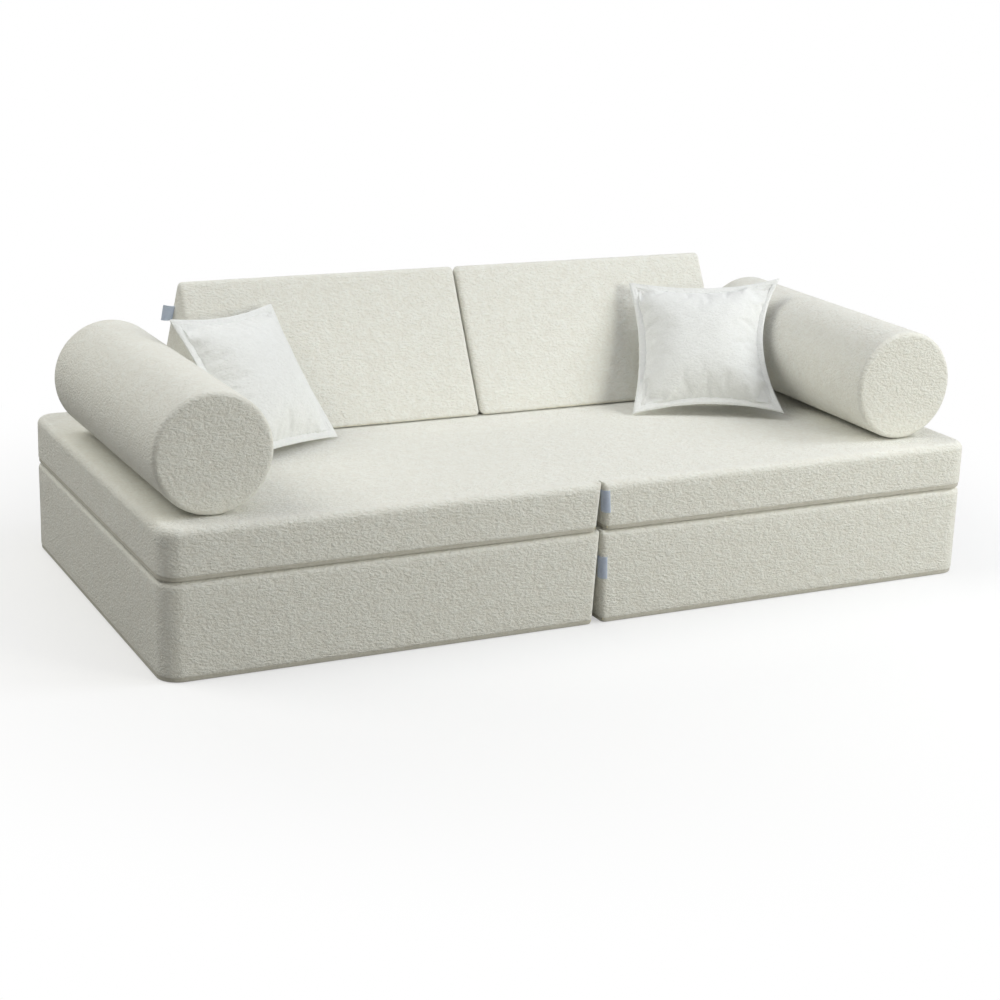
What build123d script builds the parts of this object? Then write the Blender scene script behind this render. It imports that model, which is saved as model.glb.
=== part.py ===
from build123d import *
import os
from math import cos, hypot, radians, sin

# A modular foam play sofa: two folding floor mattresses, one on the other, two wedge
# backs, two round bolsters and two scatter pillows. Every foam piece wears its own
# zipped cover. Millimetres, +Z up, front towards -Y, origin on the floor under the middle.

# Driving dimensions
panel_length = 950.0  # one half of a folding mattress, along X
panel_depth = 950.0  # along Y
base_thickness = 204.0
seat_thickness = 105.0
bolster_room = 283.0  # seat left beyond the end of each back
back_depth = 365.0  # foot of the wedge, along Y
back_peak = 333.0  # height where the two slopes would meet over the rounded ridge
bolster_diameter = 247.0
bolster_length = 700.0
pillow_size = 348.0
pillow_plumpness = 128.0  # thickest, through the middle

# Cloth
cover_wall = 4.0
pillow_wall = 3.0
rest_gap = 0.3  # air under a piece that lies on another

# Mattress panels
panel_corner_radius = 45.0  # upright corners at the outer ends
panel_top_radius = 18.0
panel_bottom_radius = 7.0
split_half_gap = 1.0  # from the fold line to a panel, at the top
split_draft = 9.0  # a panel's inner side stands this much further off at the bottom
hem_height = 11.0  # lowest band, of the plain underside cloth
hem_inset = 1.5
panel_zip_margin = 85.0  # from each end of a panel's rear side to its zip
panel_zip_height = 30.0  # over the panel's bottom
hinge_width = 56.0  # cloth hinge let into the tops of both panels
hinge_thickness = 1.2

# Wedge backs
backs_half_gap = 2.0  # from the middle of the sofa to each back
back_setback = 580.6  # front of the seat to the foot of a back
back_peak_share = 0.486  # of the depth, from the foot's front to under the ridge
back_ridge_radius = 14.0
back_end_radius = 9.0
back_zip_margin = 72.5  # from each end of a back to its zip
back_zip_rise = 45.0  # up the rear slope from the foot

# Bolsters
bolster_end_radius = 11.0
bolster_zip_margin = 70.0  # from each end of a bolster to its zip
bolster_zip_angle = -40.0  # round from the right-hand side
bolster_left_gap = 31.5  # from the end of the back to the front end's nearest side
bolster_left_setback = 57.0  # front of the seat to the front end
bolster_left_turn = 0.4  # about Z, in degrees
bolster_right_gap = 19.5
bolster_right_setback = 77.0
bolster_right_turn = -1.3

# Pillows: side_gap from the bolster's side to the lower edge's end, back_gap from the
# rear upper corner to the slope of the back, then turn, lean and roll in degrees
pillow_flange_width = 22.0
pillow_flange_thickness = 6.0
pillow_hollow = 23.0  # the edges curve in by this much at the middle
pillow_height_shares = (-1.0, -0.6, 0.0, 0.6, 1.0)
pillow_width_shares = (0.35, 0.8, 1.0, 0.8, 0.35)
pillow_hollow_shares = (0.1, 0.35, 0.63, 0.35, 0.1)
pillow_zip_length = 190.0
pillow_zip_inset = 7.5  # middle of the zip to the edge
pillow_left_side_gap = 24.75
pillow_left_back_gap = 28.55
pillow_left_turn = 32.5
pillow_left_lean_angle = 36.5
pillow_left_roll_angle = -3.5
pillow_right_side_gap = 37.32
pillow_right_back_gap = 41.41
pillow_right_turn = -29.0
pillow_right_lean_angle = 41.5
pillow_right_roll_angle = 2.5

# Zip: tape and coil, a slider on the coil and its pull
tape_width = 14.0
pillow_tape_width = 8.0
tape_thickness = 1.0
coil_width = 5.0
coil_height = 1.4
stop_length = 4.0
stop_height = 2.2
stop_clearance = 1.0
slider_length = 10.0
slider_width = 7.6
slider_corner_radius = 2.0
slider_plate = 1.6
slider_clearance = 0.3
bail_length = 7.0
bail_width = 1.4
bail_thickness = 1.2
bail_opening = 2.4
pull_length = 24.0
pull_width = 6.0
pull_corner_radius = 0.5
pull_thickness = 1.1
pull_bar = 1.1
pull_window_length = 6.2
pull_window_width = 2.6
pull_hole_diameter = 2.6
pull_hole_inset = 3.0
slot_undercut = 1.0  # a slot in a rounded cover starts this far inside it

# Cloth tags
tag_width = 25.0
tag_height = 48.0
tag_thickness = 0.8
tag_inset = 20.0  # its middle to the front of the panel
tag_height_share = 0.6  # of its panel's thickness
back_tag_length = 24.0
back_tag_height = 42.0
back_tag_rise = 285.0  # its middle, up the rear slope
back_tag_depth = 14.0  # in from the rear slope

# Worked out
seat_top = base_thickness + seat_thickness
front_y = -panel_depth / 2
back_length = panel_length - bolster_room - backs_half_gap
back_zip_length = back_length - 2 * back_zip_margin
panel_zip_length = panel_length - 2 * panel_zip_margin
bolster_zip_length = bolster_length - 2 * bolster_zip_margin
coil_top = tape_thickness + coil_height
plate_low = coil_top + slider_clearance
plate_high = plate_low + slider_plate
slider_low = tape_thickness + slider_clearance
pull_axis_height = plate_high + bail_opening / 2


def write(piece, name):
    """Label a finished piece and write it."""
    piece.part.label = name
    export_step(piece.part, "parts/" + name + ".step")


def write_part(part, name):
    """Write a part that was made outside its own block."""
    with BuildPart() as piece:
        add(part)
    write(piece, name)


def write_twins(part, name, piece):
    """Write a right-hand piece and its left-hand twin."""
    write_part(part, name + "_right_" + piece)
    with BuildPart() as twin:
        add(part)
        mirror(about=Plane.YZ, mode=Mode.REPLACE)
    write(twin, name + "_left_" + piece)


# Zips
def zip_strip(seat, length, width):
    """Tape with its coil and two end stops, laid on the seat plane."""
    with BuildPart() as strip:
        with BuildSketch(seat):
            Rectangle(length, width)
        extrude(amount=tape_thickness)
        with BuildSketch(seat.offset(tape_thickness)):
            Rectangle(length - 2 * stop_length, coil_width)
        extrude(amount=coil_height)
        with BuildSketch(seat.offset(tape_thickness)):
            with Locations((length / 2 - stop_length, 0), (stop_length - length / 2, 0)):
                Rectangle(stop_length, coil_width)
        extrude(amount=stop_height)
    return strip.part


def slider_start(length):
    """Place of the closed slider along the zip."""
    return length / 2 - 2 * stop_length - stop_clearance - slider_length / 2


def zip_slider(seat, length):
    """Slider body with a channel over the coil and a bail for the pull."""
    middle = slider_start(length)
    foot = (bail_length - bail_thickness) / 2
    with BuildPart() as slider:
        with BuildSketch(seat.offset(slider_low)):
            with Locations((middle, 0)):
                RectangleRounded(slider_length, slider_width, slider_corner_radius)
        extrude(amount=plate_high - slider_low)
        with BuildSketch(seat.offset(slider_low)):
            with Locations((middle, 0)):
                Rectangle(2 * slider_length, coil_width + 2 * slider_clearance)
        extrude(amount=plate_low - slider_low, mode=Mode.SUBTRACT)
        with BuildSketch(seat.offset(plate_high)):
            with Locations((middle - foot, 0), (middle + foot, 0)):
                Rectangle(bail_thickness, bail_width)
        extrude(amount=bail_opening)
        with BuildSketch(seat.offset(plate_high + bail_opening)):
            with Locations((middle, 0)):
                Rectangle(bail_length, bail_width)
        extrude(amount=bail_thickness)
    return slider.part


def zip_pull(seat, length):
    """Flat pull whose end bar turns inside the bail."""
    middle = slider_start(length)
    with BuildPart() as pull:
        with BuildSketch(seat.offset(pull_axis_height - pull_thickness / 2)):
            with Locations((middle + pull_bar / 2 - pull_length / 2, 0)):
                RectangleRounded(pull_length, pull_width, pull_corner_radius)
            with Locations((middle - pull_bar / 2 - pull_window_length / 2, 0)):
                Rectangle(pull_window_length, pull_window_width, mode=Mode.SUBTRACT)
            with Locations((middle + pull_bar / 2 - pull_length + pull_hole_inset, 0)):
                Circle(pull_hole_diameter / 2, mode=Mode.SUBTRACT)
        extrude(amount=pull_thickness)
    return pull.part


def zip_slot(seat, length):
    """The slot that a zip fills in its cover."""
    with BuildPart() as slot:
        with BuildSketch(seat.offset(-slot_undercut)):
            Rectangle(length, tape_width)
        extrude(amount=2 * slot_undercut + cover_wall)
    return slot.part


def zip_pieces(seat, length, width):
    """A zip's three pieces with their names."""
    return (
        ("zip", zip_strip(seat, length, width)),
        ("zip_slider", zip_slider(seat, length)),
        ("zip_pull", zip_pull(seat, length)),
    )


# Mattresses
def panel_block(thickness, bottom, inset):
    """Right-hand panel, drawn in on every side by inset."""
    low = bottom + inset
    high = bottom + thickness - inset
    inner = split_half_gap + inset
    outer = panel_length - inset
    with BuildPart() as block:
        with BuildSketch(Plane.XZ.offset(panel_depth / 2 - inset)):
            with BuildLine():
                Polyline((inner + split_draft, low), (outer, low), (outer, high), (inner, high), close=True)
            make_face()
        extrude(amount=2 * inset - panel_depth)
        fillet(block.faces().sort_by(Axis.X)[-1].edges().filter_by(Axis.Z), panel_corner_radius - inset)
        rim = block.faces().sort_by(Axis.Z)[-1].edges().sort_by(Axis.X)[1:]
        fillet(rim, panel_top_radius - inset)
        foot = block.faces().sort_by(Axis.Z)[0].edges()
        fillet(foot, panel_bottom_radius - inset)
    return block.part


def make_tag(thickness, bottom):
    """Tag sewn flat to the right-hand panel's inner side, near the front."""
    rise = thickness * tag_height_share
    inner = split_half_gap + split_draft * (thickness - rise) / thickness
    side = Plane(
        origin=(inner, front_y + tag_inset, bottom + rise),
        x_dir=(0, -1, 0),
        z_dir=(-thickness, 0, -split_draft),
    )
    with BuildPart() as tag:
        with BuildSketch(side):
            Rectangle(tag_width, tag_height)
        extrude(amount=tag_thickness)
    return tag


def make_mattress(name, thickness, bottom):
    """One folding mattress: two panels, the cloth hinge between them and a tag."""
    rear = Plane(
        origin=(panel_length / 2, panel_depth / 2 - cover_wall, bottom + panel_zip_height),
        x_dir=(1, 0, 0),
        z_dir=(0, 1, 0),
    )
    foam = panel_block(thickness, bottom, cover_wall)
    slot = zip_slot(rear, panel_zip_length)
    with BuildPart() as hinge:
        with BuildSketch(Plane.XY.offset(bottom + thickness - hinge_thickness)):
            Rectangle(hinge_width, panel_depth - 2 * panel_corner_radius)
        extrude(amount=hinge_thickness)
    with BuildPart() as cover:
        add(panel_block(thickness, bottom, 0))
        with BuildSketch(Plane.XY.offset(bottom)):
            Rectangle(3 * panel_length, 2 * panel_depth)
        extrude(amount=hem_height, mode=Mode.SUBTRACT)
        add(foam, mode=Mode.SUBTRACT)
        add(slot, mode=Mode.SUBTRACT)
        add(hinge.part, mode=Mode.SUBTRACT)
    with BuildPart() as underside:
        add(panel_block(thickness, bottom - hem_inset, hem_inset))
        with BuildSketch(Plane.XY.offset(bottom)):
            Rectangle(3 * panel_length, 2 * panel_depth)
        extrude(amount=hem_height, mode=Mode.INTERSECT)
        add(foam, mode=Mode.SUBTRACT)
    write_twins(foam, name, "foam")
    write_twins(cover.part, name, "cover")
    write_twins(underside.part, name, "underside")
    for piece, part in zip_pieces(rear, panel_zip_length, tape_width):
        write_twins(part, name, piece)
    write(hinge, name + "_hinge")
    write(make_tag(thickness, bottom), name + "_tag")


# Backs
def back_block(inset):
    """Right-hand wedge, drawn in on every side by inset."""
    near = front_y + back_setback
    low = seat_top + rest_gap
    with BuildPart() as block:
        with BuildSketch(Plane.YZ.offset(backs_half_gap + inset)) as profile:
            with BuildLine():
                Polyline(
                    (near, low),
                    (near + back_depth, low),
                    (near + back_depth * back_peak_share, low + back_peak),
                    close=True,
                )
            make_face()
            if inset:
                offset(amount=-inset, kind=Kind.INTERSECTION, mode=Mode.REPLACE)
            fillet(profile.vertices().sort_by(Axis.Y)[-1], back_ridge_radius - inset)
        extrude(amount=back_length - 2 * inset)
        ends = block.faces().sort_by(Axis.X)
        fillet(ends[0].edges() + ends[-1].edges(), back_end_radius - inset)
    return block.part


def back_slope(x, rise):
    """Plane on the rear slope, rise up it from the foot, facing out."""
    along = Vector(0, back_depth * (back_peak_share - 1), back_peak).normalized()
    foot = Vector(x, front_y + back_setback + back_depth, seat_top + rest_gap)
    return Plane(origin=foot + along * rise, x_dir=(1, 0, 0), z_dir=along.cross(Vector(1, 0, 0)))


def make_backs():
    """Both wedge backs, with a tag on the left one."""
    seat = back_slope(backs_half_gap + back_length / 2, back_zip_rise).offset(-cover_wall)
    foam = back_block(cover_wall)
    slot = zip_slot(seat, back_zip_length)
    with BuildPart() as cover:
        add(back_block(0))
        add(foam, mode=Mode.SUBTRACT)
        add(slot, mode=Mode.SUBTRACT)
    write_twins(foam, "back", "foam")
    write_twins(cover.part, "back", "cover")
    for piece, part in zip_pieces(seat, back_zip_length, tape_width):
        write_twins(part, "back", piece)
    end = -(backs_half_gap + back_length + back_tag_length / 2)
    with BuildPart() as tag:
        with BuildSketch(back_slope(end, back_tag_rise).offset(-back_tag_depth)):
            Rectangle(back_tag_length, back_tag_height)
        extrude(amount=tag_thickness)
    write(tag, "back_tag")


# Bolsters
def bolster_block(front, inset):
    """Foam roll from its front plane, drawn in on every side by inset."""
    with BuildPart() as block:
        with BuildSketch(front.offset(inset)):
            Circle(bolster_diameter / 2 - inset)
        extrude(amount=bolster_length - 2 * inset)
        fillet(block.edges().filter_by(GeomType.CIRCLE), bolster_end_radius - inset)
    return block.part


def make_bolster(name, side, gap, setback, turn):
    """One bolster lying on the seat, its axis towards the rear."""
    x = side * (backs_half_gap + back_length + gap + bolster_diameter / 2)
    lift = seat_top + rest_gap + bolster_diameter / 2
    axis = Vector(-sin(radians(turn)), cos(radians(turn)), 0)
    across = Vector(cos(radians(turn)), sin(radians(turn)), 0)
    front = Plane(origin=(x, front_y + setback, lift), x_dir=across, z_dir=axis)
    angle = radians(bolster_zip_angle)
    out = across * cos(angle) + Vector(0, 0, sin(angle))
    reach = bolster_diameter / 2 - cover_wall
    seat = Plane(origin=front.origin + axis * (bolster_length / 2) + out * reach, x_dir=axis, z_dir=out)
    foam = bolster_block(front, cover_wall)
    slot = zip_slot(seat, bolster_zip_length)
    with BuildPart() as cover:
        add(bolster_block(front, 0))
        add(foam, mode=Mode.SUBTRACT)
        add(slot, mode=Mode.SUBTRACT)
    write_part(foam, name + "_foam")
    write(cover, name + "_cover")
    for piece, part in zip_pieces(seat, bolster_zip_length, tape_width):
        write_part(part, name + "_" + piece)


# Pillows
def hollow_square(half, hollow):
    """Face with pointed corners and edges that curve in."""
    corners = ((-half, -half), (half, -half), (half, half), (-half, half))
    dips = ((0, hollow - half), (half - hollow, 0), (0, half - hollow), (hollow - half, 0))
    with BuildLine() as outline:
        for index in range(len(corners)):
            ThreePointArc(corners[index - 1], dips[index - 1], corners[index])
    make_face(outline.edges())


def pillow_body(middle, inset):
    """Crowned pillow inside its flange, drawn in by inset."""
    half = pillow_size / 2 - hypot(pillow_flange_width, pillow_flange_width) - inset
    rise = pillow_plumpness / 2 - inset
    with BuildPart() as body:
        for height, width, hollow in zip(pillow_height_shares, pillow_width_shares, pillow_hollow_shares):
            with BuildSketch(middle.offset(rise * height)):
                hollow_square(half * width, pillow_hollow * hollow)
        loft()
    return body.part


def pillow_foot(side, arm_gap, gaps, turn, lean):
    """Where the lower edge's middle stands, along X and Y."""
    side_gap, back_gap = gaps
    arm = backs_half_gap + back_length + arm_gap
    x = side * (arm - side_gap - pillow_size / 2 * cos(turn))
    reach = pillow_size * (abs(sin(turn)) / 2 + cos(turn) * sin(lean))
    slope = pillow_size * cos(lean) * back_depth * back_peak_share / back_peak
    return x, front_y + back_setback + slope - reach - back_gap


def make_pillow(name, side, arm_gap, gaps, turn, lean, roll):
    """One pillow standing on its lower edge and leaning back."""
    turn, lean, roll = radians(turn), radians(lean), radians(roll)
    level = Vector(cos(turn), sin(turn), 0)
    away = Vector(-sin(turn), cos(turn), 0)
    up_slope = Vector(0, 0, cos(lean)) + away * sin(lean)
    across = level * cos(roll) + up_slope * sin(roll)
    upward = up_slope * cos(roll) - level * sin(roll)
    face = across.cross(upward)
    sunk = pillow_size / 2 * abs(across.Z) + pillow_flange_thickness / 2 * face.Z
    foot = Vector(*pillow_foot(side, arm_gap, gaps, turn, lean), seat_top + rest_gap + sunk)
    middle = Plane(origin=foot + upward * (pillow_size / 2), x_dir=across, z_dir=face)
    insert = pillow_body(middle, pillow_wall)
    with BuildPart() as cover:
        add(pillow_body(middle, 0))
        with BuildSketch(middle):
            hollow_square(pillow_size / 2, pillow_hollow)
        extrude(amount=pillow_flange_thickness / 2, both=True)
        add(insert, mode=Mode.SUBTRACT)
    drop = pillow_size / 2 - pillow_hollow - pillow_zip_inset
    behind = middle.origin - upward * drop - face * (pillow_flange_thickness / 2)
    seat = Plane(origin=behind, x_dir=across, z_dir=-face)
    write_part(insert, name + "_insert")
    write(cover, name + "_cover")
    for piece, part in zip_pieces(seat, pillow_zip_length, pillow_tape_width):
        write_part(part, name + "_" + piece)


os.makedirs("parts", exist_ok=True)
make_mattress("base", base_thickness, 0)
make_mattress("seat", seat_thickness, base_thickness)
make_backs()
make_bolster("bolster_left", -1, bolster_left_gap, bolster_left_setback, bolster_left_turn)
make_bolster("bolster_right", 1, bolster_right_gap, bolster_right_setback, bolster_right_turn)
make_pillow(
    "pillow_left",
    -1,
    bolster_left_gap,
    (pillow_left_side_gap, pillow_left_back_gap),
    pillow_left_turn,
    pillow_left_lean_angle,
    pillow_left_roll_angle,
)
make_pillow(
    "pillow_right",
    1,
    bolster_right_gap,
    (pillow_right_side_gap, pillow_right_back_gap),
    pillow_right_turn,
    pillow_right_lean_angle,
    pillow_right_roll_angle,
)
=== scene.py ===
"""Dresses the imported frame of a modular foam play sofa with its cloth, light and camera."""

import logging
import math
from collections.abc import Iterator
from contextlib import contextmanager
from dataclasses import dataclass
from enum import Enum
from functools import cached_property

import bpy
import numpy as np
from mathutils import Matrix, Vector, noise


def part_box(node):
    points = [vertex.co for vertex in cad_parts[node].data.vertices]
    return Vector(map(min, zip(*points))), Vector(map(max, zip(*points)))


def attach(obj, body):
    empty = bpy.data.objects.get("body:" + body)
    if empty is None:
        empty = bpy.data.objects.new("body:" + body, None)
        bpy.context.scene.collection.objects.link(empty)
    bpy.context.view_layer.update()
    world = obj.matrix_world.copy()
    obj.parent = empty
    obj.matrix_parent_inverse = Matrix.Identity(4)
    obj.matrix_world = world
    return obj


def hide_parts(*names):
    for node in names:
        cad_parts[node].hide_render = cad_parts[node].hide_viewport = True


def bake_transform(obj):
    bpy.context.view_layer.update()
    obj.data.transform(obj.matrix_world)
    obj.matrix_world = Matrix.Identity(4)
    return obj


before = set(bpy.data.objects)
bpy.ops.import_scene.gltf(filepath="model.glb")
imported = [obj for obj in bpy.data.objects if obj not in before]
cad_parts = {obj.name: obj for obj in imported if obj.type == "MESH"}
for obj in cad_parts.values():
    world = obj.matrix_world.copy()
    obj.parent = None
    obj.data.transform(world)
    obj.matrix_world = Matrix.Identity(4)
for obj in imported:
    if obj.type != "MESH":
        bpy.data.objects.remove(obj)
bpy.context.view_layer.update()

LOG = logging.getLogger("play_sofa")
TINY = 1e-6
RIM_SHARES = (0.25, 0.5, 0.75, 1.0)
X_AXIS, Y_AXIS, Z_AXIS = Vector((1, 0, 0)), Vector((0, 1, 0)), Vector((0, 0, 1))
Piece = bpy.types.Object
Tree = bpy.types.NodeTree
Socket = bpy.types.NodeSocket
Colour = tuple[float, float, float]
Place = tuple[float, float, float]


class Side(Enum):
    """The two halves of the sofa, as seen from the front."""

    LEFT = "left"
    RIGHT = "right"


# ---------------------------------------------------------------- finishes


def feed(tree: Tree, node: bpy.types.Node, inputs: dict[str | int, object]) -> None:
    """Link or set a node's inputs.

    Args:
        tree: Node tree that holds the node.
        node: The node.
        inputs: Socket or constant for each input, by the input's name or number.
    """
    for slot, value in inputs.items():
        if isinstance(value, Socket):
            tree.links.new(value, node.inputs[slot])
        else:
            node.inputs[slot].default_value = value


def add_node(tree: Tree, kind: str, inputs: dict[str | int, object], **options: object) -> bpy.types.Node:
    """Add a shader node.

    Args:
        tree: Node tree that takes the node.
        kind: Blender's type of the node, without its first word, ShaderNode.
        inputs: Socket or constant for each input, by the input's name or number.
        **options: The node's own settings, such as its operation.

    Returns:
        The node.
    """
    node = tree.nodes.new(f"ShaderNode{kind}")
    for option, value in options.items():
        setattr(node, option, value)
    feed(tree, node, inputs)
    return node


def math_node(tree: Tree, operation: str, first: object, second: object) -> Socket:
    """Add a Math node.

    Args:
        tree: Node tree that takes the node.
        operation: Blender's name of the operation.
        first: Socket or number for the first input.
        second: Socket or number for the second input.

    Returns:
        The node's value socket.
    """
    return add_node(tree, "Math", {0: first, 1: second}, operation=operation).outputs[0]


def noise_node(tree: Tree, vector: Socket, scale: float, detail: float) -> bpy.types.Node:
    """Add a Noise Texture.

    Args:
        tree: Node tree that takes the node.
        vector: Socket with the coordinates.
        scale: Pattern repeats in one metre.
        detail: Octaves of finer noise.

    Returns:
        The node.
    """
    return add_node(tree, "TexNoise", {"Scale": scale, "Detail": detail, "Vector": vector})


def mix_colours(tree: Tree, share: Socket, first: object, second: object, blend: str = "MIX") -> Socket:
    """Add a Mix node for colours.

    Args:
        tree: Node tree that takes the node.
        share: Socket with the second colour's share.
        first: Socket or colour with alpha.
        second: Socket or colour with alpha.
        blend: Blender's name of the blend.

    Returns:
        The node's colour socket.
    """
    return add_node(tree, "Mix", {0: share, 6: first, 7: second}, data_type="RGBA", blend_type=blend).outputs[2]


def object_place(tree: Tree) -> Socket:
    """Add Object coordinates and give their socket."""
    return add_node(tree, "TexCoord", {}).outputs["Object"]


def directly_seen(tree: Tree) -> Socket:
    """Add a mask that is 1 for rays from the camera and for those that gloss or glass sends on."""
    rays = add_node(tree, "LightPath", {}).outputs
    seen = math_node(tree, "MAXIMUM", rays["Is Camera Ray"], rays["Is Glossy Ray"])
    return math_node(tree, "MAXIMUM", seen, rays["Is Transmission Ray"])


def new_material(name: str) -> tuple[bpy.types.Material, Tree, bpy.types.Node]:
    """Start a material.

    Args:
        name: Name of the material.

    Returns:
        The material, its node tree and its Principled BSDF.
    """
    material = bpy.data.materials.new(name)
    material.use_nodes = True
    return material, material.node_tree, material.node_tree.nodes["Principled BSDF"]


@dataclass(frozen=True)
class CurlRelief:
    """The relief of bouclé: tight curls of yarn in rows, and a mask of the gaps between them that takes painted
    shade.

    A layer is its repeats in one metre, its octaves and its share of the height.
    """

    row_stretch: tuple[float, float, float] = (0.62, 1.0, 1.1)
    warp: tuple[float, float, float] = (90.0, 2.0, 0.007)
    smoothness: float = 0.35
    curl_share: float = 0.35
    loops: tuple[float, float, float] = (230.0, 5.0, 1.2)
    fuzz: tuple[float, float, float] = (800.0, 2.0, 0.3)
    clumps: tuple[float, float, float] = (48.0, 4.0, 0.8)
    pit_shade_heights: tuple[float, float] = (1.1, 1.6)

    def build(self) -> Tree:
        """Build the node group.

        Returns:
            A group that turns Object coordinates into a relief height and a mask for painted shade in the gaps
            between curls.
        """
        group = bpy.data.node_groups.new("boucle_curls", "ShaderNodeTree")
        new_socket = group.interface.new_socket
        new_socket("Vector", in_out="INPUT", socket_type="NodeSocketVector")
        new_socket("Curls per metre", in_out="INPUT", socket_type="NodeSocketFloat").default_value = 170.0
        for label in ("Height", "Pit shade"):
            new_socket(label, in_out="OUTPUT", socket_type="NodeSocketFloat")
        source = group.nodes.new("NodeGroupInput").outputs
        target = group.nodes.new("NodeGroupOutput")
        stretch = {0: source["Vector"], 1: self.row_stretch}
        rows = add_node(group, "VectorMath", stretch, operation="MULTIPLY").outputs[0]
        warp_scale, warp_detail, warp_reach = self.warp
        warp = noise_node(group, rows, warp_scale, warp_detail).outputs["Color"]
        shift = add_node(group, "VectorMath", {0: warp, "Scale": warp_reach}, operation="SCALE").outputs[0]
        bent = add_node(group, "VectorMath", {0: rows, 1: shift}, operation="ADD").outputs[0]
        cell_inputs = {"Smoothness": self.smoothness, "Vector": bent, "Scale": source["Curls per metre"]}
        cells = add_node(group, "TexVoronoi", cell_inputs, feature="SMOOTH_F1")
        curls = math_node(group, "SUBTRACT", 1.0, cells.outputs["Distance"])
        height = math_node(group, "MULTIPLY", curls, self.curl_share)
        for place, (scale, detail, share) in ((bent, self.loops), (bent, self.fuzz), (source["Vector"], self.clumps)):
            layer = noise_node(group, place, scale, detail).outputs["Fac"]
            height = math_node(group, "ADD", height, math_node(group, "MULTIPLY", layer, share))
        # Painted shade is full below the low height and gone above the high one.
        low, high = self.pit_shade_heights
        limits = {"From Min": low, "From Max": high, "To Min": 1.0, "To Max": 0.0, "Value": height}
        feed(group, target, {"Height": height, "Pit shade": add_node(group, "MapRange", limits).outputs[0]})
        return group


@dataclass(frozen=True)
class ClothFinish:
    """A matt cloth: yarn colour, the painted shade colour of the gaps between the yarns and how coarse it is."""

    name: str
    yarn: Colour
    # Painted shade: colour that the gaps between the yarns darken to.
    pit_shade: Colour
    curls_per_metre: float
    relief: float
    pit_shade_strength: float = 0.5
    cloud: float = 0.06
    clouds_per_metre: float = 7.0
    roughness: float = 0.95
    sheen: float = 0.15
    light_through: float = 0.0

    def build(self, curls: Tree) -> bpy.types.Material:
        """Make the material.

        Args:
            curls: Shared node group with the relief of the yarn.

        Returns:
            The finished material.
        """
        material, tree, shader = new_material(self.name)
        place = object_place(tree)
        yarn = {"Curls per metre": self.curls_per_metre, "Vector": place}
        group = add_node(tree, "Group", yarn, node_tree=curls)
        # Painted shade: the yarn darkens towards its shade colour where the relief sinks between curls.
        pit_shade_mask = math_node(tree, "MULTIPLY", group.outputs["Pit shade"], self.pit_shade_strength)
        yarn_with_pit_shade = mix_colours(tree, pit_shade_mask, (*self.yarn, 1.0), (*self.pit_shade, 1.0))
        clouds = noise_node(tree, place, self.clouds_per_metre, 4.0).outputs["Fac"]
        dim = (1.0 - self.cloud, 1.0 - self.cloud, 1.0 - 1.4 * self.cloud, 1.0)
        relief = {"Distance": self.relief, "Strength": 1.0, "Height": group.outputs["Height"]}
        feed(tree, shader, {
            "Base Color": mix_colours(tree, clouds, yarn_with_pit_shade, dim, "MULTIPLY"),
            "Normal": add_node(tree, "Bump", relief).outputs["Normal"],
            "Roughness": self.roughness,
            "Sheen Weight": self.sheen,
            "Sheen Roughness": 0.6,
            "Specular IOR Level": 0.15,
            "Subsurface Weight": self.light_through,
            "Subsurface Radius": (1.0, 1.0, 1.0),
            "Subsurface Scale": 0.004,
        })
        return material


@dataclass(frozen=True)
class MetalFinish:
    """Brushed zinc of the zip sliders and pulls."""

    name: str = "brushed_zinc"
    colour: Colour = (0.55, 0.55, 0.54)
    scratches_per_metre: float = 900.0

    def build(self) -> bpy.types.Material:
        """Make the material and return it."""
        material, tree, shader = new_material(self.name)
        scratches = noise_node(tree, object_place(tree), self.scratches_per_metre, 3.0).outputs["Fac"]
        roughness = math_node(tree, "ADD", math_node(tree, "MULTIPLY", scratches, 0.25), 0.25)
        feed(tree, shader, {"Base Color": (*self.colour, 1.0), "Metallic": 1.0, "Roughness": roughness})
        return material


# Each cloth's second colour is painted shade for the gaps between its yarns.
BOUCLE = ClothFinish("ivory_boucle", (0.875, 0.877, 0.82), (0.67, 0.60, 0.49), 150.0, 0.0026, 0.25, 0.02)
PILLOW_PILE = ClothFinish("white_crushed_pile", (0.875, 0.885, 0.875), (0.70, 0.70, 0.68), 150.0, 0.0014, 0.25, 0.02)
# Underside cloth: its own colour, darkened further as painted shade so that the hem strip reads as the shaded crease
# below the cover.
LINING_WITH_PAINTED_SHADE = ClothFinish("underside_cloth", (0.62, 0.60, 0.53), (0.46, 0.44, 0.38), 600.0, 0.0004)
TAG_CLOTH = ClothFinish(
    "blue_tag_cloth", (0.60, 0.69, 0.93), (0.48, 0.56, 0.82), 900.0, 0.0003, cloud=0.03, light_through=0.8
)
ZIP_TAPE = ClothFinish("zip_tape", (0.72, 0.71, 0.65), (0.50, 0.48, 0.42), 900.0, 0.0003)
FOAM = ClothFinish("cut_foam", (0.78, 0.73, 0.52), (0.60, 0.54, 0.35), 500.0, 0.0005)
FIBRE = ClothFinish("fibre_fill", (0.86, 0.86, 0.85), (0.70, 0.70, 0.69), 300.0, 0.0010)


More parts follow.
